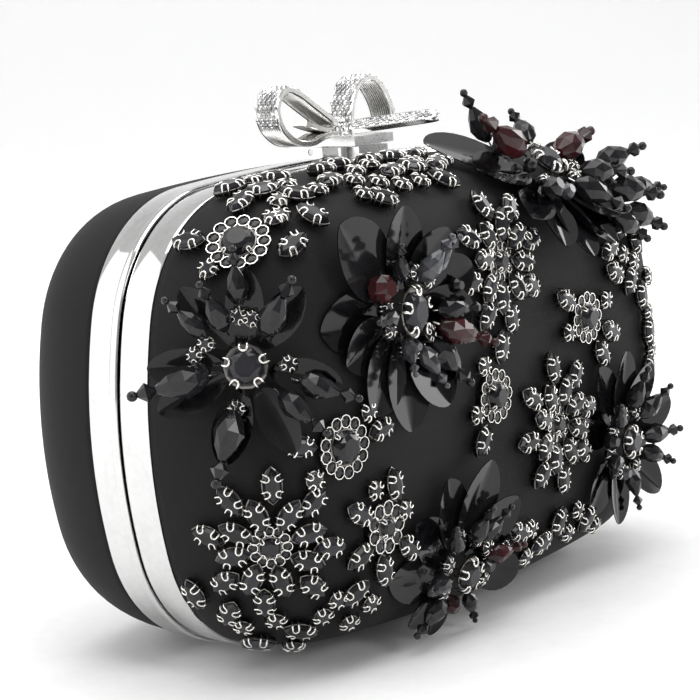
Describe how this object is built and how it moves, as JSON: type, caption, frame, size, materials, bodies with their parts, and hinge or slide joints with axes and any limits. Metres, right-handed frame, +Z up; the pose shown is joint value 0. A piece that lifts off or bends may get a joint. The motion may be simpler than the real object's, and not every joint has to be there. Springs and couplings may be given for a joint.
{
  "type": "evening bag",
  "caption": "Hard-shell satin evening bag: two domed halves in polished frames, hinged at the foot, with a bow clasp and a front covered in beaded flowers.",
  "frame": {"origin": "middle of the flat foot on the underside of the frames, in the plane where the two halves meet", "axes": "+X to the right seen from the front, -Y out of the beaded front, +Z up"},
  "size_m": [0.1882, 0.096, 0.1288],
  "materials": {
    "polished_frame": "mirror polished",
    "black_satin": "matt duchesse satin",
    "moulded_shell": "moulded, unseen",
    "lining": "soft faille",
    "hinge_steel": "fine brushed",
    "magnet": "nickel plated",
    "clasp_metal": "polished",
    "bow_pave": "polished and set with small stones",
    "leaf_sequin": "glossy dark translucent",
    "jet_bead": "faceted jet",
    "stone_cup": "cast and plated",
    "faceted_stone": "faceted jet",
    "mixed_stones": "faceted jet stones in metal cups"
  },
  "bodies": {
    "rear_half": {"rear_frame": "polished_frame", "rear_shell": "moulded_shell", "rear_satin": "black_satin", "rear_lining": "lining", "rear_hinge_leaf": "hinge_steel", "hinge_pin": "hinge_steel", "clasp_bracket": "clasp_metal", "clasp_pin": "hinge_steel"},
    "front_half": {"front_frame": "polished_frame", "front_shell": "moulded_shell", "front_satin": "black_satin", "front_lining": "lining", "front_hinge_leaf": "hinge_steel", "clasp_keeper": "clasp_metal", "star_flower_leaves": "leaf_sequin", "star_flower_beads": "jet_bead", "star_flower_centre": "faceted_stone", "great_flower_leaves": "leaf_sequin", "great_flower_beads": "jet_bead", "great_flower_centre": "faceted_stone", "crown_flower_leaves": "leaf_sequin", "crown_flower_beads": "jet_bead", "crown_flower_centre": "faceted_stone", "foot_flower_leaves": "leaf_sequin", "foot_flower_beads": "jet_bead", "foot_flower_centre": "faceted_stone", "side_flower_leaves": "leaf_sequin", "side_flower_beads": "jet_bead", "side_flower_centre": "faceted_stone", "daisy_cups": "stone_cup", "daisy_stones": "faceted_stone", "upper_spray_cups": "stone_cup", "upper_spray_stones": "faceted_stone", "lower_spray_cups": "stone_cup", "lower_spray_stones": "faceted_stone", "sun_brooch_cups": "stone_cup", "sun_brooch_stones": "faceted_stone", "ring_brooch_cups": "stone_cup", "ring_brooch_stones": "faceted_stone", "oval_brooch_cups": "stone_cup", "oval_brooch_stones": "faceted_stone", "high_brooch_cups": "stone_cup", "high_brooch_stones": "faceted_stone", "low_brooch_cups": "stone_cup", "low_brooch_stones": "faceted_stone", "top_cluster": "mixed_stones", "shoulder_cluster": "mixed_stones", "edge_column": "mixed_stones", "bottom_left_cluster": "mixed_stones", "bottom_right_cluster": "mixed_stones", "flank_cluster": "mixed_stones"},
    "clasp": {"clasp_plate": "clasp_metal", "clasp_magnet": "magnet", "bow_left_loop": "bow_pave", "bow_right_loop": "bow_pave", "bow_knot": "bow_pave", "bow_right_tail": "bow_pave", "bow_left_tail": "bow_pave"}
  },
  "joints": [
    {"name": "front_open", "type": "hinge", "parent": "rear_half", "child": "front_half", "pos_m": [0, 0, 0.0015], "axis": [1, 0, 0], "range_deg": [0, 75]},
    {"name": "bow_lift", "type": "hinge", "parent": "rear_half", "child": "clasp", "pos_m": [-0.002, 0.0062, 0.11117], "axis": [-1, 0, 0], "range_deg": [0, 20]}
  ]
}
